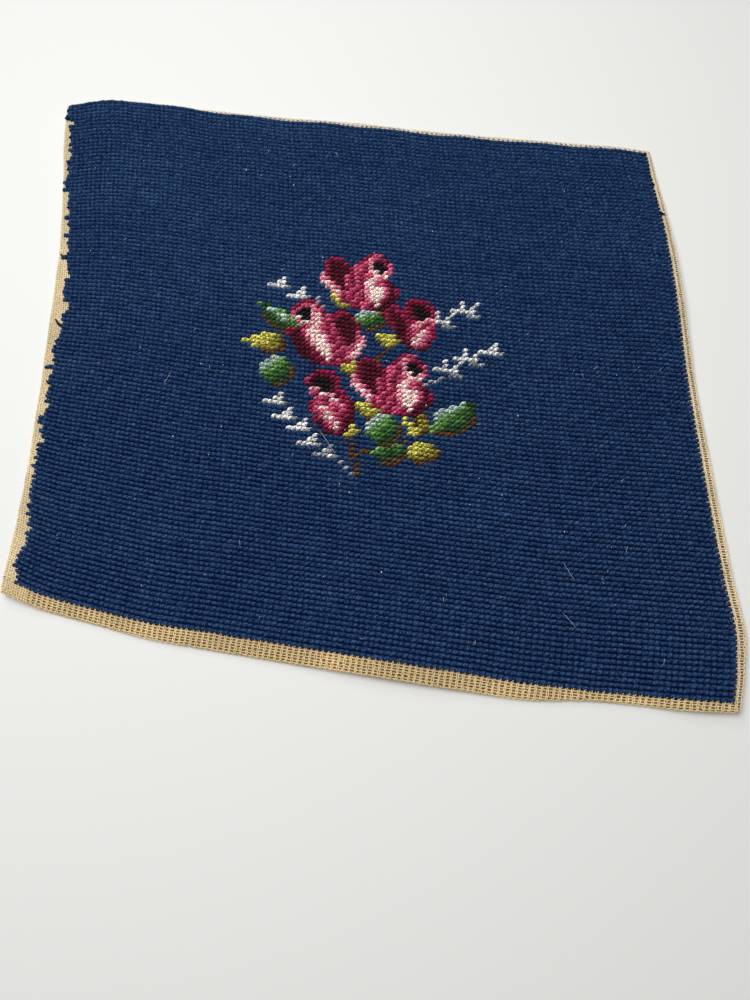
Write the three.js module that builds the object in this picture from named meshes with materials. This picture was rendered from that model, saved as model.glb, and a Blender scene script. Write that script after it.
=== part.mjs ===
// Needlepoint canvas panel, lying flat: an open-mesh canvas pulled out of square by its slanted
// stitches, its raw edges turned under, with a layer of wool stitching over its face.
// Millimetres, +X along the stitch rows, +Z up, origin under the middle of the panel's box.
import * as THREE from 'three';
import { mergeVertices } from 'three/addons/utils/BufferGeometryUtils.js';

// Canvas cloth
const clothThick = 1.0;
const hemDepth = 14;
const hemGap = 0.4;
const foldRound = 0.9;

// Wool stitching
const woolThick = 1.4;
const woolGap = 0.3;
const woolRound = 0.5;

// Panel drawn as a leaning four-sided sheet
const panelWidth = 341.6;
const panelHeight = 294.9;
const leanLeft = 55.1;
const corners = {
  bottomLeft: new THREE.Vector2(-panelWidth / 2 + leanLeft / 2, -panelHeight / 2),
  bottomRight: new THREE.Vector2(panelWidth / 2 + leanLeft / 2, -panelHeight / 2 + 1.4),
  topRight: new THREE.Vector2(panelWidth / 2 - leanLeft / 2, panelHeight / 2 + 5.5),
  topLeft: new THREE.Vector2(-panelWidth / 2 - leanLeft / 2, panelHeight / 2 - 5.2),
};

// How far each side bows out from the straight line between its corners, and the bare canvas
// left showing between the folded edge and the wool, at shares of the side's length
const bottomSide = [
  { share: 0, bow: 0, bare: 7 },
  { share: 0.06, bow: 4.6, bare: 6.4 },
  { share: 0.14, bow: 7.4, bare: 6.2 },
  { share: 0.22, bow: 10, bare: 6.8 },
  { share: 0.3, bow: 10.4, bare: 7.4 },
  { share: 0.5, bow: 10.5, bare: 7.4 },
  { share: 0.66, bow: 10, bare: 7.4 },
  { share: 0.74, bow: 9, bare: 6.6 },
  { share: 0.81, bow: 5.4, bare: 3.8 },
  { share: 0.88, bow: 3.6, bare: 4 },
  { share: 0.94, bow: 2.6, bare: 4.6 },
  { share: 1, bow: 0, bare: 3.6 },
];
const rightSide = [
  { share: 0, bow: 0, bare: 3.4 },
  { share: 0.06, bow: 5.2, bare: 3.6 },
  { share: 0.11, bow: 8.6, bare: 4.8 },
  { share: 0.2, bow: 7.2, bare: 5.4 },
  { share: 0.34, bow: 5.9, bare: 5.6 },
  { share: 0.52, bow: 4.4, bare: 4.6 },
  { share: 0.74, bow: 4.5, bare: 4.6 },
  { share: 0.86, bow: 3.4, bare: 4.8 },
  { share: 0.94, bow: 1.5, bare: 4.6 },
  { share: 1, bow: 0, bare: 3.2 },
];
const topSide = [
  { share: 0, bow: 0, bare: 1.2 },
  { share: 0.06, bow: 5.8, bare: 1.6 },
  { share: 0.15, bow: 8.6, bare: 1.8 },
  { share: 0.26, bow: 6.5, bare: 2.6 },
  { share: 0.38, bow: 5.3, bare: 3.4 },
  { share: 0.5, bow: 5, bare: 4 },
  { share: 0.66, bow: 2.5, bare: 3.9 },
  { share: 0.8, bow: 1.7, bare: 3.8 },
  { share: 0.93, bow: 1.2, bare: 3.6 },
  { share: 1, bow: 0, bare: 3.4 },
];
const leftSide = [
  { share: 0, bow: 0, bare: 6.6 },
  { share: 0.1, bow: -1.6, bare: 7.2 },
  { share: 0.22, bow: -3.8, bare: 4.2 },
  { share: 0.34, bow: -4.7, bare: 5 },
  { share: 0.5, bow: -5.2, bare: 7.4 },
  { share: 0.66, bow: -5.3, bare: 5.4 },
  { share: 0.78, bow: -3.1, bare: 3.6 },
  { share: 0.9, bow: -0.5, bare: 4.8 },
  { share: 0.95, bow: 0, bare: 2.6 },
  { share: 1, bow: 0, bare: 1.2 },
];

// Places where the cloth stands a little off the surface
const swells = [
  { name: 'top left corner', x: -196, y: 144, reach: 64, rise: 2.8 },
  { name: 'upper right edge', x: 164, y: 70, reach: 66, rise: 2.6 },
  { name: 'bottom edge', x: 46, y: -156, reach: 58, rise: 1.8 },
  { name: 'bottom left ear', x: -148, y: -148, reach: 36, rise: 2.4 },
  { name: 'bottom right corner', x: 198, y: -146, reach: 42, rise: 1.8 },
];

// Cells of the sheet across and along, inside the hem
const cellsAcross = 20;
const cellsAlong = 18;

// One side as a smooth curve; outward is 1 where the outside lies right of the walk, else -1
function sideCurve(start, end, rows, outward) {
  const run = end.clone().sub(start);
  const out = new THREE.Vector2(run.y, -run.x).normalize().multiplyScalar(outward);
  const points = rows.map((row) => {
    const p = start.clone().addScaledVector(run, row.share).addScaledVector(out, row.bow);
    return new THREE.Vector3(p.x, p.y, 0);
  });
  return new THREE.CatmullRomCurve3(points, false, 'centripetal');
}

const bottomCurve = sideCurve(corners.bottomLeft, corners.bottomRight, bottomSide, 1);
const rightCurve = sideCurve(corners.bottomRight, corners.topRight, rightSide, 1);
const topCurve = sideCurve(corners.topLeft, corners.topRight, topSide, -1);
const leftCurve = sideCurve(corners.bottomLeft, corners.topLeft, leftSide, -1);

// The middle of the outline's box, which becomes the origin
const outlineBox = new THREE.Box3();
for (const curve of [bottomCurve, rightCurve, topCurve, leftCurve]) {
  for (const point of curve.getSpacedPoints(200)) outlineBox.expandByPoint(point);
}
const middle = outlineBox.getCenter(new THREE.Vector3());

function bareAt(rows, share) {
  let i = 1;
  while (i < rows.length - 1 && rows[i].share < share) i += 1;
  const a = rows[i - 1];
  const b = rows[i];
  const t = THREE.MathUtils.smoothstep(share, a.share, b.share);
  return THREE.MathUtils.lerp(a.bare, b.bare, t);
}

function liftAt(x, y) {
  let rise = 0;
  for (const swell of swells) {
    const away = Math.hypot(x - swell.x, y - swell.y) / swell.reach;
    if (away < 1) rise += swell.rise * (1 - away * away) ** 2;
  }
  return rise;
}

// A point of the sheet from its share across u and along v, blended from the four sides
function sheetPoint(u, v) {
  const p = new THREE.Vector3();
  p.addScaledVector(bottomCurve.getPointAt(u), 1 - v);
  p.addScaledVector(topCurve.getPointAt(u), v);
  p.addScaledVector(leftCurve.getPointAt(v), 1 - u);
  p.addScaledVector(rightCurve.getPointAt(v), u);
  p.x -= corners.bottomLeft.x * (1 - u) * (1 - v) + corners.bottomRight.x * u * (1 - v);
  p.x -= corners.topLeft.x * (1 - u) * v + corners.topRight.x * u * v;
  p.y -= corners.bottomLeft.y * (1 - u) * (1 - v) + corners.bottomRight.y * u * (1 - v);
  p.y -= corners.topLeft.y * (1 - u) * v + corners.topRight.y * u * v;
  p.z = liftAt(p.x, p.y);
  p.x -= middle.x;
  p.y -= middle.y;
  return p;
}

// Walk round the sheet's border, anticlockwise from the bottom left corner
const across = (i) => i / cellsAcross;
const along = (j) => j / cellsAlong;
const border = [];
const addBorder = (u, v, rows, share) => border.push({ u, v, bare: bareAt(rows, share) });
for (let i = 0; i < cellsAcross; i += 1) addBorder(across(i), 0, bottomSide, across(i));
for (let j = 0; j < cellsAlong; j += 1) addBorder(1, along(j), rightSide, along(j));
for (let i = cellsAcross; i > 0; i -= 1) addBorder(across(i), 1, topSide, across(i));
for (let j = cellsAlong; j > 0; j -= 1) addBorder(0, along(j), leftSide, along(j));

const hemU = hemDepth / panelWidth;
const hemV = hemDepth / panelHeight;

function innerPoint(u, v) {
  return sheetPoint(hemU + u * (1 - 2 * hemU), hemV + v * (1 - 2 * hemV));
}

const outerRing = border.map((b) => sheetPoint(b.u, b.v));
const innerRing = border.map((b) => innerPoint(b.u, b.v));

// A ring of border points, each set in from the folded edge and raised above the surface
function ring(insetAt, height) {
  return border.map((b, k) => {
    const p = outerRing[k].clone().lerp(innerRing[k], insetAt(b) / hemDepth);
    p.z += height;
    return p;
  });
}

// A closed cloth: a face sheet, the rings that carry it round its edge, and an under sheet
function clothMesh(name, rings, faceHeight, underHeight, material) {
  const positions = [];
  const addTriangle = (a, b, c) => positions.push(...a.toArray(), ...b.toArray(), ...c.toArray());
  const raised = (i, j, height) => {
    const p = innerPoint(across(i), along(j));
    p.z += height;
    return p;
  };
  for (let i = 0; i < cellsAcross; i += 1) {
    for (let j = 0; j < cellsAlong; j += 1) {
      const cell = [[i, j], [i + 1, j], [i + 1, j + 1], [i, j + 1]];
      const face = cell.map(([a, b]) => raised(a, b, faceHeight));
      const under = cell.map(([a, b]) => raised(a, b, underHeight));
      addTriangle(face[0], face[1], face[2]);
      addTriangle(face[0], face[2], face[3]);
      addTriangle(under[0], under[2], under[1]);
      addTriangle(under[0], under[3], under[2]);
    }
  }
  for (let r = 0; r + 1 < rings.length; r += 1) {
    for (let k = 0; k < border.length; k += 1) {
      const n = (k + 1) % border.length;
      const quad = [rings[r][k], rings[r + 1][k], rings[r + 1][n], rings[r][n]];
      if (quad[0].distanceTo(quad[2]) > quad[1].distanceTo(quad[3])) quad.unshift(quad.pop());
      addTriangle(quad[0], quad[1], quad[2]);
      addTriangle(quad[0], quad[2], quad[3]);
    }
  }
  const soup = new THREE.BufferGeometry();
  soup.setAttribute('position', new THREE.Float32BufferAttribute(positions, 3));
  const geometry = mergeVertices(soup, 1e-4);
  geometry.computeVertexNormals();
  const mesh = new THREE.Mesh(geometry, material);
  mesh.name = name;
  return mesh;
}

// Canvas: over the face, round the fold, back under as the hem, and out to the underside
const fixed = (inset) => () => inset;
const foldTop = 2 * clothThick + hemGap;
const hemTop = clothThick + hemGap;
const canvasRings = [
  ring(fixed(hemDepth), foldTop),
  ring(fixed(foldRound), foldTop),
  ring(fixed(foldRound * 0.27), foldTop - foldRound * 0.27),
  ring(fixed(0), foldTop - foldRound),
  ring(fixed(0), foldRound),
  ring(fixed(foldRound * 0.27), foldRound * 0.27),
  ring(fixed(foldRound), 0),
  ring(fixed(hemDepth), 0),
  ring(fixed(hemDepth), clothThick),
  ring(fixed(clothThick), clothThick),
  ring(fixed(clothThick), hemTop),
  ring(fixed(hemDepth), hemTop),
];
const canvasCotton = new THREE.MeshStandardMaterial({ color: 0xc4a169, roughness: 0.92, metalness: 0 });
const canvas = clothMesh('canvas', canvasRings, foldTop, hemTop, canvasCotton);

// Wool: the stitched field, short of the folded edge by the bare canvas on each side
const woolUnder = foldTop + woolGap;
const woolTop = woolUnder + woolThick;
const bare = (more) => (b) => b.bare + more;
const woolRings = [
  ring(fixed(hemDepth), woolTop),
  ring(bare(woolRound), woolTop),
  ring(bare(0), woolTop - woolRound),
  ring(bare(0), woolUnder),
  ring(fixed(hemDepth), woolUnder),
];
const navyWool = new THREE.MeshStandardMaterial({ color: 0x1f3358, roughness: 0.95, metalness: 0 });
const stitchedWool = clothMesh('stitched_wool', woolRings, woolTop, woolUnder, navyWool);

const panel = new THREE.Group();
panel.name = 'needlepoint_canvas_panel';
panel.add(canvas, stitchedWool);

export default panel;
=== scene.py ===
import math

import bpy
import numpy as np
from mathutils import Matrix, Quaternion, Vector


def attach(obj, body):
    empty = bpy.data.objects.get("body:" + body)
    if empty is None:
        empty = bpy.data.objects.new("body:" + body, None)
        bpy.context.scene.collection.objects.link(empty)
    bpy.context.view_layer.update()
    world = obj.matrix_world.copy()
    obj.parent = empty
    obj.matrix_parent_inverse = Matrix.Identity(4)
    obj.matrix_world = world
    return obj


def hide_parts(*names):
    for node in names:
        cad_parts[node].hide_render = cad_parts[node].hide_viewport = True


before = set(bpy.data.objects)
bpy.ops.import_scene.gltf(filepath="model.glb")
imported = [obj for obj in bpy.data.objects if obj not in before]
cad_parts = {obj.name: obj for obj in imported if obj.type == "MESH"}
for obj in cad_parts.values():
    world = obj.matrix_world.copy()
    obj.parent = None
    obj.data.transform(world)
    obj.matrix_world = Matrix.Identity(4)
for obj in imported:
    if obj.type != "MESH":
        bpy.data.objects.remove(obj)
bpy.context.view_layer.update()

mm = 0.001
scene = bpy.context.scene
rng = np.random.default_rng(41)


def hexColour(code):
    # sRGB hex to the linear colour that shaders use
    parts = [int(code[i:i + 2], 16) / 255 for i in (1, 3, 5)]
    return tuple(c / 12.92 if c <= 0.04045 else ((c + 0.055) / 1.055) ** 2.4 for c in parts) + (1.0,)


def addNode(tree, kind, inputs=(), **settings):
    # one node with its settings, its values and its links, by socket name or in order
    node = tree.nodes.new(kind)
    for key, value in settings.items():
        setattr(node, key, value)
    for key, value in inputs.items() if isinstance(inputs, dict) else enumerate(inputs):
        if isinstance(value, bpy.types.NodeSocket):
            tree.links.new(value, node.inputs[key])
        else:
            node.inputs[key].default_value = value
    return node


def newPiece(name, mesh):
    piece = bpy.data.objects.new(name, mesh)
    scene.collection.objects.link(piece)
    return piece


# The sheet: a canvas pulled out of square by its stitches, in mm, with its solid's outline
panel = {
    "width": 341.6,
    "height": 294.9,
    "lean": 55.1,
    "bottomRightRise": 1.4,
    "topRightRise": 5.5,
    "topLeftDrop": 5.2,
    "bowed": 10,         # what the bowed sides add to the cut height
    "columns": 128,      # paired warps from fold to fold
    "rows": 123,         # paired wefts from fold to fold
    "columnPitch": 2.668,
    "rowPitch": 2.518,
    "faceHeight": 1.9,   # middle of the upper layer of canvas above the floor
    "foldRadius": 0.7,
    "hemDepth": 14.0,
    "ripple": 0.4,       # the wool's top edge rises and falls by this, about every 41 mm
    "rippleRate": 52,    # radians along the whole edge
    # cells of canvas left unworked along each side
    "bareCells": {"left": 2, "right": 2, "bottom": 3, "top": 1},
}

# how far each side bows out, and the bare canvas it shows, at shares of its length
sides = {
    "bottom": [
        (0, 0, 7.0), (0.06, 4.6, 6.4), (0.14, 7.4, 6.2), (0.22, 10.0, 6.8), (0.3, 10.4, 7.4),
        (0.5, 10.5, 7.4), (0.66, 10.0, 7.4), (0.74, 9.0, 6.6), (0.81, 5.4, 3.8), (0.88, 3.6, 4.0),
        (0.94, 2.6, 4.6), (1, 0, 3.6),
    ],
    "right": [
        (0, 0, 3.4), (0.06, 5.2, 3.6), (0.11, 8.6, 4.8), (0.2, 7.2, 4.8), (0.34, 5.9, 4.8),
        (0.52, 4.4, 4.0), (0.74, 4.5, 3.8), (0.86, 3.4, 3.6), (0.94, 1.5, 3.4), (1, 0, 2.6),
    ],
    "top": [
        (0, 0, 0.6), (0.06, 5.8, 0.6), (0.15, 8.6, 0.8), (0.26, 6.5, 1.6), (0.38, 5.3, 2.5),
        (0.5, 5.0, 2.9), (0.66, 2.5, 2.8), (0.8, 1.7, 2.7), (0.93, 1.2, 2.6), (1, 0, 2.5),
    ],
    "left": [
        (0, 0, 6.6), (0.1, -1.6, 7.2), (0.22, -3.8, 4.2), (0.34, -4.7, 5.0), (0.5, -5.2, 7.4),
        (0.66, -5.3, 5.4), (0.78, -3.1, 3.6), (0.9, -0.5, 4.8), (0.95, 0, 2.6), (1, 0, 1.2),
    ],
}

# places where the cloth stands a little off the floor: x, y, reach, rise
swells = [
    (-196, 144, 64, 2.8),
    (164, 70, 66, 2.6),
    (46, -156, 58, 1.8),
    (-148, -148, 36, 2.4),
    (198, -146, 42, 1.8),
]

halfWidth, halfHeight, halfLean = panel["width"] / 2, panel["height"] / 2, panel["lean"] / 2
corners = {
    "bottomLeft": np.array([-halfWidth + halfLean, -halfHeight]),
    "bottomRight": np.array([halfWidth + halfLean, -halfHeight + panel["bottomRightRise"]]),
    "topRight": np.array([halfWidth - halfLean, halfHeight + panel["topRightRise"]]),
    "topLeft": np.array([-halfWidth - halfLean, halfHeight - panel["topLeftDrop"]]),
}


def smoothCurve(points, steps=40):
    # even-tension curve through the points
    p = np.vstack([2 * points[0] - points[1], points, 2 * points[-1] - points[-2]])
    t = np.linspace(0, 1, steps, endpoint=False)[:, None]
    runs = []
    for i in range(1, len(p) - 2):
        p0, p1, p2, p3 = p[i - 1:i + 3]
        d0, d1, d2 = (np.linalg.norm(b - a) ** 0.5 for a, b in ((p0, p1), (p1, p2), (p2, p3)))
        m1 = ((p1 - p0) / d0 - (p2 - p0) / (d0 + d1) + (p2 - p1) / d1) * d1
        m2 = ((p2 - p1) / d1 - (p3 - p1) / (d1 + d2) + (p3 - p2) / d2) * d1
        runs.append(p1 + m1 * t + (3 * (p2 - p1) - 2 * m1 - m2) * t ** 2 + (2 * (p1 - p2) + m1 + m2) * t ** 3)
    return np.vstack(runs + [p[-2][None]])


def sideCurve(side, start, end, outward):
    run = corners[end] - corners[start]
    out = np.array([run[1], -run[0]]) / np.hypot(*run) * outward
    curve = smoothCurve(np.array([corners[start] + run * row[0] + out * row[1] for row in sides[side]]))
    length = np.r_[0, np.cumsum(np.hypot(*np.diff(curve, axis=0).T))]
    return length / length[-1], curve


curves = {
    "bottom": sideCurve("bottom", "bottomLeft", "bottomRight", 1),
    "right": sideCurve("right", "bottomRight", "topRight", 1),
    "top": sideCurve("top", "topLeft", "topRight", -1),
    "left": sideCurve("left", "bottomLeft", "topLeft", -1),
}
outline = np.vstack([curve for share, curve in curves.values()])
middle = (outline.min(0) + outline.max(0)) / 2


def alongSide(side, share):
    shares, curve = curves[side]
    return np.stack([np.interp(share, shares, curve[:, 0]), np.interp(share, shares, curve[:, 1])], -1)


def bareAt(side, share):
    # mm of bare canvas along a side
    table = np.array(sides[side])
    ripple = panel["ripple"] * np.sin(share * panel["rippleRate"]) if side == "top" else 0
    return np.interp(share, table[:, 0], table[:, 2]) + ripple


def sheetPoint(u, v):
    # shares across and up the sheet, blended from its four sides, to x and y in mm
    a, b = u[..., None], v[..., None]
    p = alongSide("bottom", u) * (1 - b) + alongSide("top", u) * b
    p = p + alongSide("left", v) * (1 - a) + alongSide("right", v) * a
    p = p - corners["bottomLeft"] * (1 - a) * (1 - b) - corners["bottomRight"] * a * (1 - b)
    return p - corners["topLeft"] * (1 - a) * b - corners["topRight"] * a * b


columns, rows = panel["columns"], panel["rows"]
bareCells = panel["bareCells"]
spanAcross, spanUp = columns * panel["columnPitch"], rows * panel["rowPitch"]


def turnEdge(reach, span, height):
    # a point that many mm in from one edge, carried round the fold where it passes it
    radius = panel["foldRadius"]
    near = np.minimum(reach, span - reach)
    past = radius - near
    angle = np.clip(past / radius, 0, math.pi)
    under = np.maximum(past - math.pi * radius, 0)
    inset = np.where(past <= 0, near, radius - (radius + height) * np.sin(angle) + under)
    rise = np.where(past <= 0, height, (radius + height) * np.cos(angle) - radius)
    return np.where(reach < span / 2, inset, span - inset), rise


def clothPoint(across, up, height=0.0):
    # mm across and up the flat cloth and off the middle of the canvas; metres out
    across, up = np.broadcast_arrays(np.asarray(across, float), np.asarray(up, float))
    height = np.broadcast_to(np.asarray(height, float), across.shape)
    onAcross, riseAcross = turnEdge(across, spanAcross, height)
    onUp, riseUp = turnEdge(up, spanUp, height)
    p = sheetPoint(onAcross / spanAcross, onUp / spanUp)
    lift = np.zeros(across.shape)
    for x, y, reach, rise in swells:
        away = np.hypot(p[..., 0] - x, p[..., 1] - y) / reach
        lift = lift + np.where(away < 1, rise * (1 - away ** 2) ** 2, 0)
    lowest = -2 * panel["foldRadius"] - np.abs(height)
    z = panel["faceHeight"] + lift + np.maximum(riseAcross + riseUp - height, lowest)
    return np.concatenate([p - middle, z[..., None]], -1) * mm


def cellReach(cells, count, span, pitch, low, high, bareLow, bareHigh):
    # mm from an edge: worked cells share the stitched width,
    # border ones keep their pitch and run off over the fold
    inner = bareLow + (cells - low) / (count - low - high) * (span - bareLow - bareHigh)
    return np.where(cells < low, bareLow - (low - cells) * pitch,
                    np.where(cells > count - high, span - bareHigh + (cells - count + high) * pitch, inner))


def meshReach(u, v):
    # cells of the canvas, counted from its lower left corner, to mm across and up
    u, v = np.broadcast_arrays(np.asarray(u, float), np.asarray(v, float))
    shareU, shareV = np.clip(u / columns, 0, 1), np.clip(v / rows, 0, 1)
    across = cellReach(u, columns, spanAcross, panel["columnPitch"], bareCells["left"], bareCells["right"],
                       bareAt("left", shareV), bareAt("right", shareV))
    up = cellReach(v, rows, spanUp, panel["rowPitch"], bareCells["bottom"], bareCells["top"],
                   bareAt("bottom", shareU), bareAt("top", shareU))
    return across, up


def meshPoint(u, v, height=0.0):
    return clothPoint(*meshReach(u, v), height)


# The chart: motifs drawn on squared paper, one letter a stitch
woolColours = {
    "k": "#0e0b12",  # black hearts
    "m": "#4f0a20",  # maroon
    "c": "#941f47",  # crimson
    "r": "#d2587f",  # rose
    "p": "#f3a4b2",  # pink
    "l": "#ffe2da",  # shell pink
    "a": "#b2c9be",  # mint
    "b": "#6f9d58",  # sage
    "g": "#3f6d33",  # leaf green
    "d": "#294a29",  # dark green
    "n": "#5d3f22",  # brown
    "y": "#d3cd61",  # lime
    "o": "#938936",  # olive
    "s": "#f0f0ee",  # white
    "t": "#9a9fab",  # grey
}

charts = {
    "fullRose": [
        "..........crr...",
        ".........cprcc..",
        "..ccc...crpkkcr.",
        ".cmmmc.rrcpkkkr.",
        ".cmmmmcrrcplkpr.",
        ".cmmmmcrcrrlpl..",
        "pcmmmrcrcrlprc..",
        "prmmmrcrcllrrcm.",
        "plrmmrcrcplllrmc",
        ".plrmcrcrplllrmc",
        "..plrrcrcplllcmm",
        "...pcrcrcrllcmm.",
        "....ccrcrrclmm..",
        "......ccrccmm...",
    ],
    "openRose": [
        "...ccc..........",
        "..crrpc.........",
        ".crkkprc..ccc...",
        ".rkkkplcrccmmc..",
        ".plkkplrrcmmmmc.",
        "..rllplrcrmmmmc.",
        "...crlprcrcmmmr.",
        "ccmrlllrcrcmmmrp",
        "cmmcplllrcrcmmrp",
        ".mmmrlllrcrcmrlp",
        ".mmmcplllrcrrrl.",
        "..mmmclllcrcrlp.",
        "..mmmccllrccpp..",
        "...mmmcclcrcc...",
        ".....mmcccc.....",
    ],
    "halfRose": [
        "......cccc..",
        ".....cmmmcc.",
        "..cc.cmkkmc.",
        ".cmcccmkkkc.",
        "ccmmcccmkpp.",
        ".cmmmccppcr.",
        ".ccmmcppcrc.",
        "..cmmcrrlrc.",
        "...mmcrlprc.",
        "...mmcplrc..",
        "....mclprc..",
        ".....mccm...",
    ],
    "bud": [
        "...cccc....",
        "..cmmmcc...",
        ".rmkkkmc...",
        ".cmkkkmc...",
        "..ppkkmcc..",
        "..rclppmcc.",
        "...rrclpccm",
        "..crrcrrpcm",
        "..crlprcrcm",
        "..crrlprccm",
        "...crllrcmm",
        "...cmrplcm.",
        "....mcrlcm.",
        ".....mmcm..",
    ],
    "calyx": [
        "yyyy.",
        "oyyyo",
        ".oyo.",
        "..n..",
    ],
    "tipLeaf": [
        "bdd......",
        ".daabb...",
        ".ddgaabb.",
        ".nddgabbg",
        "..ndddggb",
        "...nndddg",
        ".....nn.b",
    ],
    "longLeaf": [
        "......add",
        "....aabgd",
        "..aaabggd",
        ".aabbggdn",
        ".abbgggdn",
        ".bbggddn.",
        "bbgdddn..",
        "bnnnn....",
    ],
    "roundLeaf": [
        "..aab..",
        ".aabbg.",
        "aabbggn",
        "abbggdn",
        "bbggddn",
        ".ggddn.",
        "..dnn..",
    ],
    "smallLeaf": [
        ".aaab.",
        "aabbgd",
        "bbggdd",
        ".gddnn",
        "..nn..",
    ],
    "lowLeaf": [
        "..ggbb.",
        ".bggggd",
        "bggdddn",
        ".dddnn.",
        "..nnn..",
    ],
    "limeLeaf": [
        "....yyyo.",
        "..yyyyoon",
        "yyyyyyoon",
        "..yoooonn",
        "....nnn..",
    ],
    "shortLime": [
        "..yyyo.",
        ".yyyyoo",
        "yyyooon",
        ".ooonn.",
        "..nn...",
    ],
    "sprout": [
        "...on",
        "y.noo",
        "yynoo",
        ".yyon",
        ".yyn.",
    ],
    "frond": [
        "...s.",
        "..ss.",
        "sssst",
    ],
    "greyFrond": [
        "...t.",
        "..st.",
        "tttst",
    ],
    "twig": [
        "..s..s",
        "..s.s.",
        "sssss.",
        "...ttt",
    ],
}

# what goes where: chart, then its middle column and row; roses first, so that nothing covers them
spray = [
    ("fullRose", 64, 80), ("openRose", 57, 67), ("halfRose", 74, 71), ("fullRose", 70, 57), ("bud", 57, 51),
    ("calyx", 60, 74), ("calyx", 69, 66), ("calyx", 61, 59), ("calyx", 65, 50), ("calyx", 61, 45),
    ("tipLeaf", 47, 69), ("limeLeaf", 44, 63), ("roundLeaf", 47, 57), ("smallLeaf", 66, 71),
    ("roundLeaf", 68, 47), ("sprout", 74, 49), ("longLeaf", 81, 51), ("lowLeaf", 69, 42),
    ("shortLime", 75, 43),
    ("frond", 47, 78), ("frond", 51, 76), ("greyFrond", 54, 74),
    ("twig", 80, 73), ("twig", 85, 76),
    ("twig", 81, 62), ("twig", 85, 65), ("frond", 89, 68),
    ("frond", 47, 51), ("frond", 49, 48), ("frond", 52, 46), ("frond", 54, 43), ("greyFrond", 57, 41),
]

# stems: letter, then the columns and rows that they run between
stems = [
    ("n", 62, 43, 63, 37), ("n", 63, 41, 67, 43), ("n", 68, 64, 66, 61), ("n", 60, 72, 60, 71),
    ("n", 73, 44, 71, 46), ("t", 76, 58, 79, 60), ("t", 59, 40, 62, 37), ("n", 77, 48, 79, 49),
]


def drawSpray():
    # fills the grid of letters, the first motif to reach a cell keeping it
    grid = {}
    for chart, column, row in spray:
        lines = charts[chart]
        for down, line in enumerate(lines):
            for across, letter in enumerate(line):
                if letter != ".":
                    grid.setdefault((column + across - len(line) // 2, row + len(lines) // 2 - down), letter)
    for letter, c0, r0, c1, r1 in stems:
        steps = max(abs(c1 - c0), abs(r1 - r0))
        for k in range(steps + 1):
            grid.setdefault((round(c0 + (c1 - c0) * k / steps), round(r0 + (r1 - r0) * k / steps)), letter)
    return grid


# Materials
def newMaterial(name):
    material = bpy.data.materials.new(name)
    material.use_nodes = True
    tree = material.node_tree
    tree.nodes.clear()
    return material, tree


# Worsted tapestry wool of two soft plies: matt, speckled by its fibres, with painted shade down in the rows
wool = {
    # mm: dye lots drift, and tufts and fibres are drawn coarser than real, to show
    "sizes": {"drift": 60, "tuft": 1.2, "fibre": 0.75},
    "detail": 3.0,
    "grain": 0.6,
    # painted shade: a dark line where the two plies meet, and darkening towards each stitch's flanks and ends
    "plyWidth": 0.73,    # two plies side by side, so a dark line down the middle of a stitch
    "plyRelief": -0.3,
    "edgePower": 3,      # how sharply flanks and ends darken
    # what is read, from low to high, then the shade it gives; the ply's is painted shade between the plies
    "shades": [
        ("tint", 0, 1, 0.8, 1.2), ("drift", 0.3, 0.7, 0.88, 1.12), ("tuft", 0.36, 0.64, 0.4, 1.6),
        ("fibre", 0.38, 0.62, 0.25, 1.75), ("ply", -1, 1, 1.08, 0.82),
    ],
    "bump": 0.9,
    "bumpDepth": 0.3,
    "roughness": 0.7,
}


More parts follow.
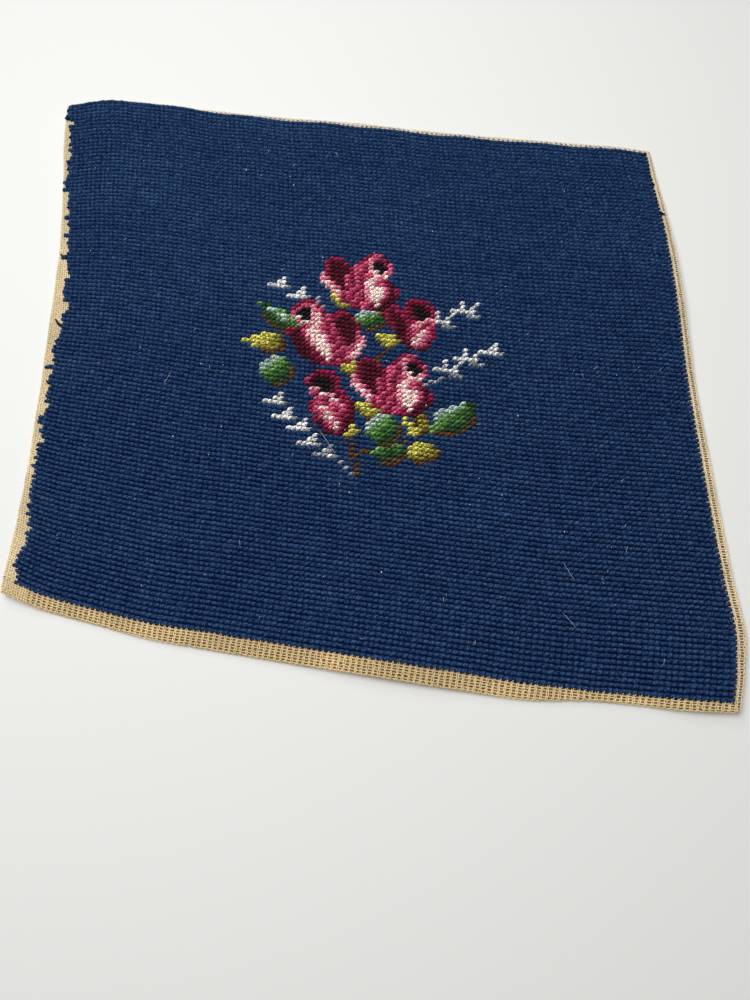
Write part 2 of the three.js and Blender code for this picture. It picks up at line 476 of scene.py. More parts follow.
def woolMaterial(name, strength, paintedShadeDepth, shine, gleam, dyesAndPaintedLight=None):
    # strength lifts its whole shade; the third argument is how far painted shade darkens its flanks and ends,
    # down into the holes; the last, for the navy, is its darkest colour, painted shade, and palest, painted
    # highlight
    material, tree = newMaterial(name)
    place = addNode(tree, "ShaderNodeTexCoord").outputs["Object"]
    found = {label: addNode(tree, "ShaderNodeAttribute", attribute_name=label).outputs["Fac"]
             for label in ("tint", "along", "around")}
    for label, size in wool["sizes"].items():
        found[label] = addNode(tree, "ShaderNodeTexNoise", {
            "Vector": place, "Scale": 1 / (size * mm), "Detail": wool["detail"], "Roughness": wool["grain"],
        }).outputs["Fac"]
    for label, operation, *values in (
        ("offset", "MULTIPLY_ADD", "around", 2, -1),
        ("flank", "ABSOLUTE", "offset"), ("flank", "POWER", "flank", wool["edgePower"]),
        ("end", "MULTIPLY_ADD", "along", 2, -1),
        ("end", "ABSOLUTE", "end"), ("end", "POWER", "end", wool["edgePower"]),
        ("ply", "MULTIPLY", "offset", 2 * math.pi / wool["plyWidth"]), ("ply", "COSINE", "ply"),
        ("relief", "MULTIPLY_ADD", "ply", wool["plyRelief"], "tuft"), ("relief", "ADD", "relief", "fibre"),
    ):
        values = [found.get(value, value) for value in values]
        found[label] = addNode(tree, "ShaderNodeMath", values, operation=operation).outputs[0]
    shade = strength
    # painted shade down each stitch's flanks and at its ends, where it dives into the holes
    edges = [("flank", 0, 1, 1, 1 - paintedShadeDepth[0]), ("end", 0, 1, 1, 1 - paintedShadeDepth[1])]
    for label, low, high, first, last in wool["shades"] + edges:
        part = addNode(tree, "ShaderNodeMapRange", {
            "Value": found[label], "From Min": low, "From Max": high, "To Min": first, "To Max": last,
        }).outputs[0]
        shade = addNode(tree, "ShaderNodeMath", [shade, part], operation="MULTIPLY").outputs[0]
    # the navy mixes from its painted-shade colour up to its painted-highlight colour; dyed wool is scaled by
    # the same shade
    if dyesAndPaintedLight:
        colour = addNode(tree, "ShaderNodeMix", {0: shade, 6: hexColour(dyesAndPaintedLight[0]), 7: hexColour(dyesAndPaintedLight[1])},
                         data_type="RGBA").outputs[2]
    else:
        colour = addNode(tree, "ShaderNodeAttribute", attribute_name="woolColour").outputs["Color"]
        colour = addNode(tree, "ShaderNodeVectorMath", {0: colour, "Scale": shade},
                         operation="SCALE").outputs[0]
    bump = addNode(tree, "ShaderNodeBump", {
        "Height": found["relief"], "Strength": wool["bump"], "Distance": wool["bumpDepth"] * mm,
    }).outputs[0]
    shader = addNode(tree, "ShaderNodeBsdfPrincipled", {
        "Base Color": colour, "Roughness": wool["roughness"], "Specular IOR Level": shine,
        "Specular Tint": hexColour(gleam), "Normal": bump,
    }).outputs[0]
    addNode(tree, "ShaderNodeOutputMaterial", {"Surface": shader})
    return material


# Stiff unbleached cotton thread, sized and matt
cotton = {
    # stains drift over 20 mm, slubs come about every 0.8 mm: size, darkest and brightest shade
    "drifts": [(20, 0.86, 1.1), (0.8, 0.82, 1.14)],
    "detail": 3.0,
    "twist": 1.5,        # mm for one turn of the thread
    "twistRelief": 0.4,
    "bump": 0.4,
    "bumpDepth": 0.12,
    "roughness": 0.85,
    "shine": 0.25,
    "sheen": 0.1,
    "sheenRoughness": 0.5,
}


def cottonMaterial(name, colour, deep, pale):
    # deep is painted shade between the threads, pale where it has faded
    material, tree = newMaterial(name)
    place = addNode(tree, "ShaderNodeTexCoord").outputs["Object"]
    unshaded, along, faded = (addNode(tree, "ShaderNodeAttribute", attribute_name=label).outputs["Fac"]
                           for label in ("unshaded", "along", "faded"))
    base = addNode(tree, "ShaderNodeMix", {0: faded, 6: hexColour(colour), 7: hexColour(pale)},
                   data_type="RGBA").outputs[2]
    # mixes in the painted shade between the threads
    base = addNode(tree, "ShaderNodeMix", {0: unshaded, 6: hexColour(deep), 7: base},
                   data_type="RGBA").outputs[2]
    for size, dark, bright in cotton["drifts"]:
        slub = addNode(tree, "ShaderNodeTexNoise", {
            "Vector": place, "Scale": 1 / (size * mm), "Detail": cotton["detail"],
        }).outputs["Fac"]
        shade = addNode(tree, "ShaderNodeMapRange", {
            "Value": slub, "From Min": 0.3, "From Max": 0.7, "To Min": dark, "To Max": bright,
        }).outputs[0]
        base = addNode(tree, "ShaderNodeVectorMath", {0: base, "Scale": shade}, operation="SCALE").outputs[0]
    perMetre = 2 * math.pi / (cotton["twist"] * mm)
    turns = addNode(tree, "ShaderNodeMath", [along, perMetre], operation="MULTIPLY").outputs[0]
    twist = addNode(tree, "ShaderNodeMath", [turns], operation="SINE").outputs[0]
    relief = addNode(tree, "ShaderNodeMath", [twist, cotton["twistRelief"], slub],
                     operation="MULTIPLY_ADD").outputs[0]
    bump = addNode(tree, "ShaderNodeBump", {
        "Height": relief, "Strength": cotton["bump"], "Distance": cotton["bumpDepth"] * mm,
    }).outputs[0]
    shader = addNode(tree, "ShaderNodeBsdfPrincipled", {
        "Base Color": base, "Roughness": cotton["roughness"], "Specular IOR Level": cotton["shine"],
        "Sheen Weight": cotton["sheen"], "Sheen Roughness": cotton["sheenRoughness"], "Normal": bump,
    }).outputs[0]
    addNode(tree, "ShaderNodeOutputMaterial", {"Surface": shader})
    return material


# navy ground wool, the many dyed wools of the spray, canvas thread, and lint
# the navy's darkest colour, #001946, is painted shade and its palest, #486a95, a painted highlight
navyWool = woolMaterial("navyTapestryWool", 0.43, (0.7, 1.0), 0.05, "#d4def0", ("#001946", "#486a95"))
dyedWool = woolMaterial("dyedTapestryWool", 1.25, (0.4, 0.55), 0.35, "#f0e4e0")
# the canvas's deep colour, #86602c, is painted shade between the threads
canvasCotton = cottonMaterial("cottonCanvasThread", "#f0d6a0", "#86602c", "#efe5d0")
lintFluff = cottonMaterial("paleLint", "#f2f3f2", "#f2f3f2", "#f2f3f2")
print("materials made")


# Node trees
def newTree(name, inputs):
    tree = bpy.data.node_groups.new(name, "GeometryNodeTree")
    tree.interface.new_socket("Geometry", in_out="INPUT", socket_type="NodeSocketGeometry")
    for label, kind in inputs.items():
        tree.interface.new_socket(label, in_out="INPUT", socket_type="NodeSocket" + kind)
    tree.interface.new_socket("Geometry", in_out="OUTPUT", socket_type="NodeSocketGeometry")
    return tree, addNode(tree, "NodeGroupInput").outputs


def stitchTree():
    # a small patch bent into one plump slanting stitch, set on every point
    tree, given = newTree("tentStitches", {
        "Stitch width": "Float", "Stitch length": "Float", "Arch": "Float", "Crown": "Float",
        "Slant": "Float", "Taper": "Float", "Turn spread": "Float", "Size spread": "Float",
        "Seed": "Int", "Wool": "Material",
    })
    patch = addNode(tree, "GeometryNodeMeshGrid", [2.0, 2.0, 5, 6]).outputs[0]
    spot = addNode(tree, "GeometryNodeInputPosition").outputs[0]
    flat = addNode(tree, "ShaderNodeSeparateXYZ", [spot]).outputs
    found = {socket.name: socket for socket in [*flat, *given]}
    # p across the yarn and q along it, from the middle out: crown 1 - 2.6 p^3, arch 1 - q^2.5
    for label, operation, *values in (
        ("p", "ABSOLUTE", "X"), ("q", "ABSOLUTE", "Y"),
        ("side", "SIGN", "X"), ("wide", "POWER", "p", 0.6), ("wide", "MULTIPLY", "wide", "side"),
        ("top", "POWER", "p", 3), ("top", "MULTIPLY_ADD", "top", -2.6, 1),
        ("bow", "POWER", "q", 2.5), ("bow", "SUBTRACT", 1, "bow"),
        ("thin", "MULTIPLY", "q", "q"), ("thin", "MULTIPLY", "thin", "Taper"),
        ("thin", "MULTIPLY_ADD", "thin", -0.5, 0.5), ("half", "MULTIPLY", "Stitch width", "thin"),
        ("y", "MULTIPLY", "Stitch length", 0.5), ("y", "MULTIPLY", "y", "Y"),
        ("lean", "MULTIPLY", "y", "Slant"), ("x", "MULTIPLY_ADD", "wide", "half", "lean"),
        ("z", "MULTIPLY_ADD", "top", "Crown", "Arch"), ("z", "MULTIPLY", "z", "bow"),
        ("along", "MULTIPLY_ADD", "Y", 0.5, 0.5), ("around", "MULTIPLY_ADD", "wide", 0.5, 0.5),
        ("back", "MULTIPLY", "Turn spread", -1),
        ("small", "SUBTRACT", 1, "Size spread"), ("large", "ADD", 1, "Size spread"),
    ):
        values = [found.get(value, value) for value in values]
        found[label] = addNode(tree, "ShaderNodeMath", values, operation=operation).outputs[0]
    for label in ("along", "around"):
        patch = addNode(tree, "GeometryNodeStoreNamedAttribute", {
            "Geometry": patch, "Name": label, "Value": found[label],
        }, domain="POINT").outputs[0]
    bent = addNode(tree, "ShaderNodeCombineXYZ", [found["x"], found["y"], found["z"]]).outputs[0]
    patch = addNode(tree, "GeometryNodeSetPosition", {"Geometry": patch, "Position": bent}).outputs[0]
    smooth = addNode(tree, "GeometryNodeSetShadeSmooth", {"Geometry": patch}).outputs[0]

    # each stitch takes its point's turn and size, with a little spread of its own
    turn, size = (
        addNode(tree, "GeometryNodeInputNamedAttribute", {"Name": label}, data_type="FLOAT_VECTOR").outputs[0]
        for label in ("turn", "size"))
    turn = addNode(tree, "FunctionNodeEulerToRotation", [turn]).outputs[0]
    wobble = addNode(tree, "FunctionNodeRandomValue", {
        2: found["back"], 3: found["Turn spread"], "Seed": found["Seed"],
    }, data_type="FLOAT").outputs[1]
    wobble = addNode(tree, "ShaderNodeCombineXYZ", {"Z": wobble}).outputs[0]
    wobble = addNode(tree, "FunctionNodeEulerToRotation", [wobble]).outputs[0]
    turn = addNode(tree, "FunctionNodeRotateRotation", [turn, wobble], rotation_space="LOCAL").outputs[0]
    low, high = (addNode(tree, "ShaderNodeCombineXYZ", [found[end]] * 3).outputs[0]
                 for end in ("small", "large"))
    spread = addNode(tree, "FunctionNodeRandomValue", {0: low, 1: high, "Seed": found["Seed"]},
                     data_type="FLOAT_VECTOR").outputs[0]
    size = addNode(tree, "ShaderNodeVectorMath", [size, spread], operation="MULTIPLY").outputs[0]
    placed = addNode(tree, "GeometryNodeInstanceOnPoints", {
        "Points": given["Geometry"], "Instance": smooth, "Rotation": turn, "Scale": size,
    }).outputs[0]
    real = addNode(tree, "GeometryNodeRealizeInstances", [placed]).outputs[0]
    dressed = addNode(tree, "GeometryNodeSetMaterial", {
        "Geometry": real, "Material": given["Wool"],
    }).outputs[0]
    addNode(tree, "NodeGroupOutput", [dressed])
    return tree


def threadTree():
    # a round thread along every run of edges
    tree, given = newTree("wovenThreads", {"Thread radius": "Float", "Sides": "Int", "Thread": "Material"})
    path = addNode(tree, "GeometryNodeMeshToCurve", [given["Geometry"]]).outputs[0]
    length = addNode(tree, "GeometryNodeSplineParameter").outputs["Length"]
    # the threads themselves are clear of painted shade
    for label, value in (("along", length), ("unshaded", 1.0)):
        path = addNode(tree, "GeometryNodeStoreNamedAttribute", {
            "Geometry": path, "Name": label, "Value": value,
        }, domain="POINT").outputs[0]
    section = addNode(tree, "GeometryNodeCurvePrimitiveCircle", {
        "Resolution": given["Sides"], "Radius": given["Thread radius"],
    }).outputs[0]
    full = addNode(tree, "GeometryNodeInputNamedAttribute", {"Name": "full"}, data_type="FLOAT").outputs[0]
    thread = addNode(tree, "GeometryNodeCurveToMesh", {
        "Curve": path, "Profile Curve": section, "Scale": full, "Fill Caps": True,
    }).outputs[0]
    smooth = addNode(tree, "GeometryNodeSetShadeSmooth", [thread]).outputs[0]
    real = addNode(tree, "GeometryNodeRealizeInstances", [smooth]).outputs[0]
    dressed = addNode(tree, "GeometryNodeSetMaterial", {
        "Geometry": real, "Material": given["Thread"],
    }).outputs[0]
    addNode(tree, "NodeGroupOutput", [dressed])
    return tree


def grow(name, source, tree, settings):
    # runs a tree on a source mesh and keeps what comes out as a plain mesh
    carrier = newPiece(name + "Source", source)
    modifier = carrier.modifiers.new("grow", "NODES")
    modifier.node_group = tree
    for item in tree.interface.items_tree:
        if item.item_type == "SOCKET" and item.in_out == "INPUT" and item.name in settings:
            modifier[item.identifier] = settings[item.name]
    graph = bpy.context.evaluated_depsgraph_get()
    grown = carrier.evaluated_get(graph)
    mesh = bpy.data.meshes.new_from_object(grown, preserve_all_data_layers=True, depsgraph=graph)
    mesh.name = name
    bpy.data.objects.remove(carrier)
    bpy.data.meshes.remove(source)
    return newPiece(name, mesh)


tentStitches = stitchTree()
wovenThreads = threadTree()

# Wool stitches: each lies over one crossing of the canvas, from lower left to upper right
stitching = {
    "ragged": 0.36,             # cells by which the left edge of the work wavers
    "blend": [0.5, 0.8, 0.5],   # how neighbouring rows waver together
    "firstCells": (1, 3),       # where a row may start
    "knobSize": 1.08,           # the end stitch of a row, fuller where the yarn turns back
    "knobTurn": 0.2,            # its stray turn, radians
    "knobShift": 0.3,           # and how far its outer end strays along the row, cells
    "knobRange": (-0.5, 0.4),   # at most
    "knobStretch": 0.76,        # share of a stitch's width that a cell of shift takes off
    "stitchShade": 0.12,        # spread of shade from stitch to stitch
    "yarnShade": 0.13,          # and from one length of yarn to the next, about a row
    "ground": {
        "Stitch width": 3.5 * mm, "Stitch length": 2.6 * mm, "Arch": 1.35 * mm, "Crown": 0.45 * mm,
        "Slant": 0.42, "Taper": 0.5, "Turn spread": math.radians(9), "Size spread": 0.13,
        "Seed": 7, "Wool": navyWool,
    },
    "spray": {
        "Stitch width": 3.05 * mm, "Stitch length": 2.65 * mm, "Arch": 1.25 * mm, "Crown": 0.6 * mm,
        "Slant": 0.85, "Taper": 0.5, "Turn spread": math.radians(7), "Size spread": 0.08,
        "Seed": 11, "Wool": dyedWool,
    },
    "sprigs": {                 # single strand, so finer
        "Stitch width": 2.7 * mm, "Stitch length": 2.5 * mm, "Arch": 1.2 * mm, "Crown": 0.55 * mm,
        "Slant": 0.8, "Taper": 0.4, "Turn spread": math.radians(9), "Size spread": 0.12,
        "Seed": 13, "Wool": dyedWool,
    },
    "bands": 4,
}


def workedCells():
    # the cells that carry a stitch: all but the bare border, ragged down the left
    waver = np.convolve(rng.normal(0, 1, rows + 2), stitching["blend"], "valid") * stitching["ragged"]
    start = np.clip(bareCells["left"] + np.round(waver), *stitching["firstCells"]).astype(int)
    found = [(i, j) for j in range(bareCells["bottom"], rows - bareCells["top"])
             for i in range(start[j], columns - bareCells["right"])]
    return np.array(found), start


def stitchBed(name, cells, letters=None):
    # a bare mesh of points, each with the turn, size and shade of its stitch
    u, v = cells[:, 0] + 0.5, cells[:, 1] + 0.5
    centre = meshPoint(u, v)
    row = meshPoint(u + 0.5, v) - meshPoint(u - 0.5, v)
    column = meshPoint(u, v + 0.5) - meshPoint(u, v - 0.5)
    up = np.cross(row, column)
    area = np.linalg.norm(up, axis=1)
    pitch = np.linalg.norm(row, axis=1)
    up /= area[:, None]
    ahead = row / pitch[:, None]
    beside = np.cross(up, ahead)
    turn = np.stack([np.arctan2(beside[:, 2], up[:, 2]), -np.arcsin(ahead[:, 2]),
                     np.arctan2(ahead[:, 1], ahead[:, 0])], -1)
    size = np.stack([pitch / (panel["columnPitch"] * mm), area / pitch / (panel["rowPitch"] * mm),
                     np.ones_like(pitch)], -1)
    knob = cells[:, 0] == rowStart[cells[:, 1]]
    size[knob] *= stitching["knobSize"]
    turn[knob, 2] += rng.normal(0, stitching["knobTurn"], knob.sum())
    shift = rng.normal(0, stitching["knobShift"], knob.sum()).clip(*stitching["knobRange"])
    centre[knob] += row[knob] * shift[:, None] / 2
    size[knob, 0] *= 1 - stitching["knobStretch"] * shift
    mesh = bpy.data.meshes.new(name)
    mesh.from_pydata(centre.tolist(), [], [])
    for label, values in (("turn", turn), ("size", size)):
        kept = mesh.attributes.new(label, "FLOAT_VECTOR", "POINT")
        kept.data.foreach_set("vector", values.astype(np.float32).ravel())
    stitchShade = rng.normal(0, stitching["stitchShade"], len(cells))
    yarnShade = rng.normal(0, stitching["yarnShade"], rows)[cells[:, 1]]
    tint = (0.5 + stitchShade + yarnShade).clip(0, 1).astype(np.float32)
    mesh.attributes.new("tint", "FLOAT", "POINT").data.foreach_set("value", tint)
    if letters is not None:
        colour = np.array([hexColour(woolColours[letter]) for letter in letters], np.float32)
        mesh.attributes.new("woolColour", "FLOAT_COLOR", "POINT").data.foreach_set("color", colour.ravel())
    return mesh


cells, rowStart = workedCells()
chart = drawSpray()
letters = np.array([chart.get((int(i), int(j)), "") for i, j in cells])
woolPieces = []
groundCells = cells[letters == ""]
groundCells = groundCells[np.argsort(groundCells[:, 1], kind="stable")]
for band, part in enumerate(np.array_split(groundCells, stitching["bands"])):
    name = f"wool_ground_{band + 1}"
    woolPieces.append(grow(name, stitchBed(name, part), tentStitches, stitching["ground"]))
for name, family, kind in (("wool_roses", "kmcrpl", "spray"), ("wool_leaves", "abgdnyo", "spray"),
                           ("wool_sprigs", "st", "sprigs")):
    chosen = np.isin(letters, list(family))
    bed = stitchBed(name, cells[chosen], letters[chosen])
    woolPieces.append(grow(name, bed, tentStitches, stitching[kind]))
print("stitches", len(cells), "in pieces", len(woolPieces))

# Canvas threads that show: paired warps, wefts spread evenly, woven over and under one by one
weaving = {
    "pairGap": 0.125,       # cells from the middle of a pair to each of its warps
    "openGap": 0.24,        # the same down the left border, where the mesh is pulled shut
    "shutSize": 1.3,        # and how much fuller its threads look there
    "shutCells": 5,         # cells that this border takes up
    "spareCells": 4,        # cells that the weave runs on past each fold
    "weftStep": 0.5,        # cells between wefts
    "wave": 0.28,           # mm each thread rises and dips
    "waveRange": (0.8, 1.2),
    "waver": 0.055,         # cells that a thread strays
    "faded": (0.4, 0.5, 0.1, 1.0),  # how pale the left, right, bottom and top borders are
    "fadeReach": 2,         # mm over which one border's paleness runs into the next
    "pressed": 1.5,         # mm past the fold where a thread lies flat
    "cover": 0.4,           # cells that the threads run in under the wool
    "tucked": 2.6,          # mm that they run on past the fold
    "warpSize": 1.05,       # warps are a little thicker than wefts
    "peg": 0.8,             # mm that the warps stand up between the stitches of the lowest row
    "Thread radius": 0.29 * mm,
    "Sides": 5,
    "Thread": canvasCotton,
}


def threadMesh(name, runs, labels=("full",)):
    # runs of points, each with its values, joined into one mesh of edges
    mesh = bpy.data.meshes.new(name)
    points = np.vstack([run[0] for run in runs])
    ends = np.cumsum([len(run[0]) for run in runs])
    links = np.delete(np.arange(ends[-1]), ends - 1)
    mesh.from_pydata(points.tolist(), np.stack([links, links + 1], -1).tolist(), [])
    for k, label in enumerate(labels, 1):
        values = np.concatenate([run[k] for run in runs]).astype(np.float32)
        mesh.attributes.new(label, "FLOAT", "POINT").data.foreach_set("value", values)
    return mesh


spareCells, weftStep = weaving["spareCells"], weaving["weftStep"]
pairMiddles = np.arange(-spareCells, columns + spareCells) + 0.5
pairGaps = np.where(pairMiddles < weaving["shutCells"], weaving["openGap"], weaving["pairGap"])
warpPlaces = np.sort(np.r_[pairMiddles - pairGaps, pairMiddles + pairGaps])
weftPlaces = np.arange(-spareCells, rows + spareCells, weftStep) + weftStep / 2


def threadRuns(places, crossed, lengthwise):
    # each thread over and under those it crosses, kept only where the wool leaves it bare
    spots = np.sort(np.r_[crossed, (crossed[:-1] + crossed[1:]) / 2])
    rise = np.zeros(len(spots))
    cover, lowest = weaving["cover"], bareCells["bottom"]
    plain = weaving["warpSize"] if lengthwise else 1.0
    runs = []
    for index, place in enumerate(places):
        rise[::2] = np.where((np.arange(len(crossed)) + index + lengthwise) % 2 == 0, 1, -1)
        stray = place + rng.normal(0, weaving["waver"], len(spots))
        u, v = (stray, spots) if lengthwise else (spots, stray)
        across, up = meshReach(u, v)
        reaches = np.stack([across, spanAcross - across, up, spanUp - up])
        inside = reaches.min(0)
        nearness = 1 / (np.maximum(reaches, 0) + weaving["fadeReach"]) ** 2
        faded = np.array(weaving["faded"]) @ nearness / nearness.sum(0)
        flatter = np.clip(1 + inside / weaving["pressed"], 0, 1)
        height = rise * weaving["wave"] * flatter * rng.uniform(*weaving["waveRange"], len(spots))
        if lengthwise:
            height += weaving["peg"] * ((v > lowest) & (v < lowest + cover))
        points = meshPoint(u, v, height)
        start = rowStart[np.clip(v.astype(int), 0, rows - 1)]
        bare = (u < start + cover) | (u > columns - bareCells["right"] - cover)
        bare |= (v < lowest + cover) | (v > rows - bareCells["top"] - cover)
        bare &= inside > -weaving["tucked"]
        full = np.where(u < weaving["shutCells"], weaving["shutSize"], plain)
        full = 1 + (full - 1) * flatter
        for part in np.split(np.arange(len(spots)), np.flatnonzero(np.diff(bare)) + 1):
            if bare[part[0]] and len(part) > 2:
                runs.append((points[part], full[part], faded[part]))
    return runs


threadLabels = ("full", "faded")
warpMesh = threadMesh("canvas_warps", threadRuns(warpPlaces, weftPlaces, True), threadLabels)
weftMesh = threadMesh("canvas_wefts", threadRuns(weftPlaces, warpPlaces, False), threadLabels)
canvasWarps = grow("canvas_warps", warpMesh, wovenThreads, weaving)
canvasWefts = grow("canvas_wefts", weftMesh, wovenThreads, weaving)
print("canvas threads", len(canvasWarps.data.polygons), len(canvasWefts.data.polygons))

# Fuller yarn ends that curl out along the ragged side, or the right where less than 0 long
tufts = {
    # row, mm long, side curl, lift
    "ends": [
        (117, 4.5, 0.5, 0.6), (112, 3.2, -0.6, 0.4), (104, 4.0, 0.7, 0.8), (92, 3.0, -0.4, 0.3),
        (78, 3.4, 0.5, 0.5), (60, 5.0, 1.3, 1.6), (57, 3.6, -1.1, 0.8), (46, 4.2, 0.4, 0.5),
        (31, 3.0, -0.5, 0.4), (18, 3.4, 0.6, 0.6), (105, -4.4, -0.4, 0.2), (113, -3.0, -0.3, 0.0),
    ],
    "points": 9,
    "root": 0.8,            # cells that an end starts inside the edge of the work
    "wiggle": 0.15,         # cells, and how fast it comes and goes
    "wiggleRate": 7,
    "height": 1.2,          # mm above the canvas, how soon it gets there, and its fall from there
    "riseRate": 1.6,
    "sag": 0.3,
    "taper": 0.55,
    "Thread radius": 0.75 * mm,
    "Sides": 6,
    "Thread": navyWool,
}


def tuftRuns():
    runs = []
    t = np.linspace(0, 1, tufts["points"])
    climb = tufts["height"] * np.sin(np.minimum(t * tufts["riseRate"], 1) * math.pi / 2) - tufts["sag"] * t
    for row, length, curl, lift in tufts["ends"]:
        start = rowStart[row] + tufts["root"] if length > 0 else columns - bareCells["right"] - tufts["root"]
        u = start - t * length / panel["columnPitch"]
        v = row + 0.5 + curl * t ** 2 + tufts["wiggle"] * np.sin(t * tufts["wiggleRate"])
        runs.append((meshPoint(u, v, climb + lift * t ** 2), 1 - tufts["taper"] * t ** 3))
    return runs


woolTufts = grow("wool_tufts", threadMesh("wool_tufts", tuftRuns()), wovenThreads, tufts)

# Lint: pale specks, short hairs and a few long ones caught on the wool, and fuzz rubbed up on two borders
lint = {
    "specks": 60,
    "hairs": 50,
    # column, row, mm, turn
    "longHairs": [(58, 43, 13, 2.2), (100, 24, 9, 2.0), (99, 15, 8, 2.3), (26, 52, 7, 1.2)],
    # hairs of fuzz, the first row or column they lie in, how many they spread over, cells in from the edge
    "fuzz": {"right": (150, 56, 66, 1.6), "top": (110, 32, 95, 1.0)},
    "points": 6,
    "margin": 6,            # cells kept clear along the edges
    "speckLength": (0.25, 0.5),
    "speckSize": (2.2, 4.2),
    "hairLength": (1.2, 3.0),
    "turn": (0.9, 0.5),     # middle and spread, radians
    "bend": 0.25,
    "height": 2.1,          # mm above the canvas, and the dip towards a hair's ends
    "dip": -2,
    "fuzzLength": (0.7, 1.7),
    "fuzzTurn": (0, 6.28),
    "fuzzBend": 0.4,
    "fuzzSize": 0.8,
    "fuzzTilt": (0.2, 1.0),
    "fuzzHeight": 0.8,
    "clear": 0.3 * mm,      # kept above the floor
    "Thread radius": 0.055 * mm,
    "Sides": 4,
    "Thread": lintFluff,
}


def lintRun(column, row, length, turn, bend, full, height):
    # one bent hair about a place on the canvas
    t = np.linspace(-0.5, 0.5, lint["points"])
    u = column + t * length / panel["columnPitch"] * math.cos(turn) + bend * t ** 2
    v = row + t * length / panel["rowPitch"] * math.sin(turn) - bend * t ** 2
    points = meshPoint(u, v, np.polyval(height, t))
    points[:, 2] = points[:, 2].clip(lint["clear"])
    return points, np.full(lint["points"], full)


def lintRuns():
    runs = []
    margin, level, dipped = lint["margin"], (0, 0, lint["height"]), (lint["dip"], 0, lint["height"])
    for kind in range(lint["specks"] + lint["hairs"]):
        column, row = rng.uniform(margin, columns - margin), rng.uniform(margin, rows - margin)
        if kind < lint["specks"]:
            length, full, height = rng.uniform(*lint["speckLength"]), rng.uniform(*lint["speckSize"]), level
        else:
            length, full, height = rng.uniform(*lint["hairLength"]), 1.0, dipped
        turn, bend = rng.normal(*lint["turn"]), rng.normal(0, lint["bend"])
        runs.append(lintRun(column, row, length, turn, bend, full, height))
    for column, row, length, turn in lint["longHairs"]:
        runs.append(lintRun(column, row, length, turn, rng.normal(0, lint["bend"]), 1.0, dipped))
    for side, (count, first, spread, deep) in lint["fuzz"].items():
        for k in range(count):
            inward, share = deep * rng.uniform(0, 1), first + spread * rng.uniform(0, 1)
            column, row = (columns - inward, share) if side == "right" else (share, rows - inward)
            length, turn = rng.uniform(*lint["fuzzLength"]), rng.uniform(*lint["fuzzTurn"])
            bend, tilt = rng.normal(0, lint["fuzzBend"]), rng.uniform(*lint["fuzzTilt"])
            height = (0, tilt, lint["fuzzHeight"])
            runs.append(lintRun(column, row, length, turn, bend, lint["fuzzSize"], height))
    return runs


woolLint = grow("lint", threadMesh("lint", lintRuns()), wovenThreads, lint)
print("yarn ends and lint", len(woolTufts.data.polygons), len(woolLint.data.polygons))

# Canvas ground: the whole cloth under the threads and the wool, with its hem turned under,
# painted dark as shade where it shows between the threads
ground = {
    "sink": -0.4,           # mm below the middle of the threads
    "across": 128,          # lines of the mesh each way inside the folds
    "along": 118,
    "inset": 4,             # mm from the fold to the first of them
    "hemLines": 5,
    "foldLines": 8,
    "turned": 0.6,          # share of the fold beyond which it counts as underneath
    "closeDrawn": 12,       # mm of the left border where the mesh is pulled shut
    "woolStart": 0.8,       # mm inside the edge of the work where wool fills the holes
}


def canvasGround():
    arc = math.pi * panel["foldRadius"]
    inset = ground["inset"]
    hem = -np.r_[np.linspace(panel["hemDepth"] + arc, arc + 1, ground["hemLines"]),
                 np.linspace(arc, -panel["foldRadius"], ground["foldLines"])]
    across = np.r_[hem, np.linspace(inset, spanAcross - inset, ground["across"]), spanAcross - hem[::-1]]
    up = np.r_[hem, np.linspace(inset, spanUp - inset, ground["along"]), spanUp - hem[::-1]]
    gridA, gridB = np.meshgrid(across, up, indexing="ij")
    points = clothPoint(gridA, gridB, ground["sink"]).reshape(-1, 3)
    pastA, pastB = np.maximum(-gridA, gridA - spanAcross), np.maximum(-gridB, gridB - spanUp)
    mitred = (pastA > arc) & (pastB > arc)   # the hem's corner squares are cut away
    # painted shade: dark between the threads, but for the hem underneath and the close-drawn left border
    under = (pastA > arc * ground["turned"]) | (pastB > arc * ground["turned"])
    unshaded = (under | (gridA < ground["closeDrawn"])).astype(np.float32)
    shareA, shareB = gridA / spanAcross, gridB / spanUp
    edge = np.min([gridA - bareAt("left", shareB), spanAcross - gridA - bareAt("right", shareB),
                   gridB - bareAt("bottom", shareA), spanUp - gridB - bareAt("top", shareA)], axis=0)
    n, m = gridA.shape
    faces, filled = [], []
    for i in range(n - 1):
        for j in range(m - 1):
            if not mitred[i:i + 2, j:j + 2].all():
                faces.append((i * m + j, (i + 1) * m + j, (i + 1) * m + j + 1, i * m + j + 1))
                filled.append(int(edge[i:i + 2, j:j + 2].mean() > ground["woolStart"]))
    mesh = bpy.data.meshes.new("canvas_ground")
    mesh.from_pydata(points.tolist(), [], faces)
    mesh.attributes.new("unshaded", "FLOAT", "POINT").data.foreach_set("value", unshaded.ravel())
    mesh.polygons.foreach_set("use_smooth", np.ones(len(faces), bool))
    mesh.materials.append(canvasCotton)
    # where the wool fills the holes the navy, lacking along and around, shows only its painted-shade colour
    mesh.materials.append(navyWool)
    mesh.polygons.foreach_set("material_index", filled)
    return newPiece("canvas_ground", mesh)


canvasCloth = canvasGround()
print("canvas ground", len(canvasCloth.data.polygons))

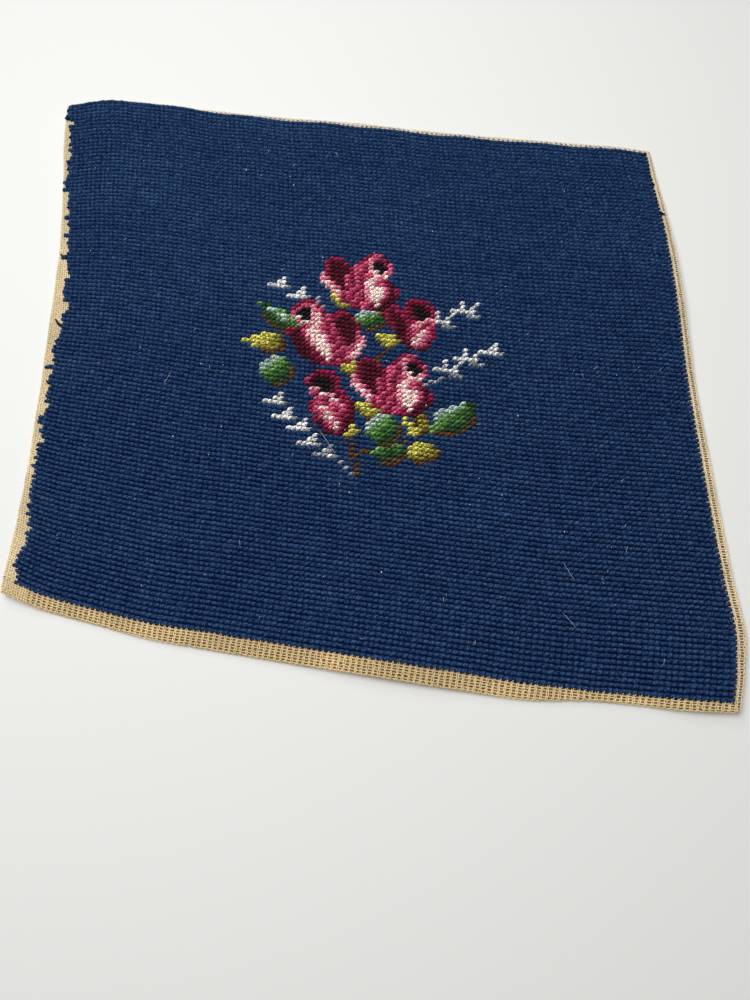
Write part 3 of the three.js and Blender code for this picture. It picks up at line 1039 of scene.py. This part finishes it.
# Camera where the photograph was taken, and soft daylight from the far left
view = {"place": (60.7, -182.0, 348.3), "aim": (24.0, -71.5, 0.0), "roll": -9.14, "lens": 27.04}
looking = (Vector(view["aim"]) - Vector(view["place"])).to_track_quat("-Z", "Y")
camera = bpy.data.objects.new("camera", bpy.data.cameras.new("camera"))
camera.data.lens = view["lens"]
camera.data.sensor_width = 36
camera.data.clip_start = 0.01
camera.location = Vector(view["place"]) * mm
camera.rotation_euler = (looking @ Quaternion((0, 0, 1), math.radians(view["roll"]))).to_euler()
scene.collection.objects.link(camera)
scene.camera = camera

lights = {
    "windowLight": {"place": (-0.9, 1.4, 1.1), "aim": (0, 0, 0), "size": 0.7, "power": 7.0},
    "softBox": {"place": (-0.17, 0.07, 0.79), "aim": (0, 0.05, 0), "size": 0.8, "power": 6.5},
}
for name, lamp in lights.items():
    data = bpy.data.lights.new(name, "AREA")
    data.size = lamp["size"]
    data.energy = lamp["power"]
    source = bpy.data.objects.new(name, data)
    source.location = lamp["place"]
    source.rotation_euler = (Vector(lamp["aim"]) - Vector(lamp["place"])).to_track_quat("-Z", "Y").to_euler()
    scene.collection.objects.link(source)
skyStrength = 0.18
world = bpy.data.worlds.new("sky")
world.use_nodes = True
sky = world.node_tree.nodes["Background"].inputs
sky["Color"].default_value = (1, 1, 1, 1)
sky["Strength"].default_value = skyStrength
scene.world = world
scene.view_settings.view_transform = "Standard"
print("camera and lights set")

# Plain pale floor, in metres
floorHalf = 2
floorMesh = bpy.data.meshes.new("floor")
floorMesh.from_pydata([(x * floorHalf, y * floorHalf, 0) for x, y in ((-1, -1), (1, -1), (1, 1), (-1, 1))],
                      [], [(0, 1, 2, 3)])
floor = newPiece("floor", floorMesh)
floorMaterial, floorTree = newMaterial("paleTable")
floorShader = addNode(floorTree, "ShaderNodeBsdfPrincipled", {
    "Base Color": hexColour("#f1f1ee"), "Roughness": 0.8,
})
addNode(floorTree, "ShaderNodeOutputMaterial", {"Surface": floorShader.outputs[0]})
floorMesh.materials.append(floorMaterial)

# Every piece rides the one body; the soft solids are replaced
woolPieces.append(woolTufts)
for piece in [canvasCloth, canvasWarps, canvasWefts, woolLint] + woolPieces:
    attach(piece, "root")
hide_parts("canvas")
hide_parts("stitched_wool")

total = 0
for piece in [canvasCloth, canvasWarps, canvasWefts, woolLint] + woolPieces:
    piece.data.calc_loop_triangles()
    total += len(piece.data.loop_triangles)
    print(piece.name, len(piece.data.loop_triangles))
print("triangles in all", total)
